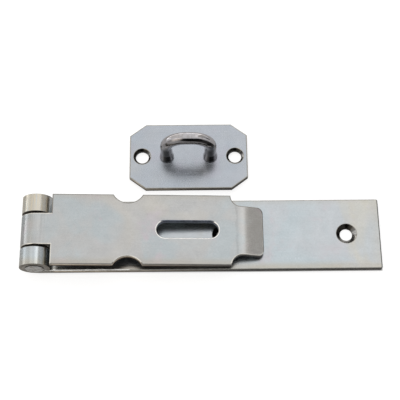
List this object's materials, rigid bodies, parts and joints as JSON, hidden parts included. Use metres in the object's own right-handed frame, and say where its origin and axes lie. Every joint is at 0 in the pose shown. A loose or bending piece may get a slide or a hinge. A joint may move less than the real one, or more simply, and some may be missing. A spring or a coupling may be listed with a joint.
{
  "type": "padlock hasp",
  "caption": "Pressed steel hasp whose slotted strap folds on a rolled hinge, with a separate cut-corner staple plate carrying a round bar bow for a padlock.",
  "frame": {"origin": "centre of the base leaf's middle screw hole, on the leaf's mounting face", "axes": "+X along the base leaf away from the hinge, +Y across it towards the loose staple, +Z out of the mounting face towards the strap"},
  "size_m": [0.178, 0.0798, 0.0273],
  "materials": {
    "leaf_zinc": "satin",
    "strap_zinc": "satin",
    "pin_steel": "satin",
    "plate_zinc": "satin",
    "bow_steel": "polished"
  },
  "bodies": {
    "base": {"base_leaf": "leaf_zinc", "hinge_pin": "pin_steel", "staple_plate": "plate_zinc", "staple_bow": "bow_steel"},
    "strap": {"hasp_strap": "strap_zinc"}
  },
  "joints": [
    {"name": "strap_hinge", "type": "hinge", "parent": "base", "child": "strap", "pos_m": [-0.092, 0, 0.0075], "axis": [0, -1, 0], "range_deg": [0, 183]}
  ]
}
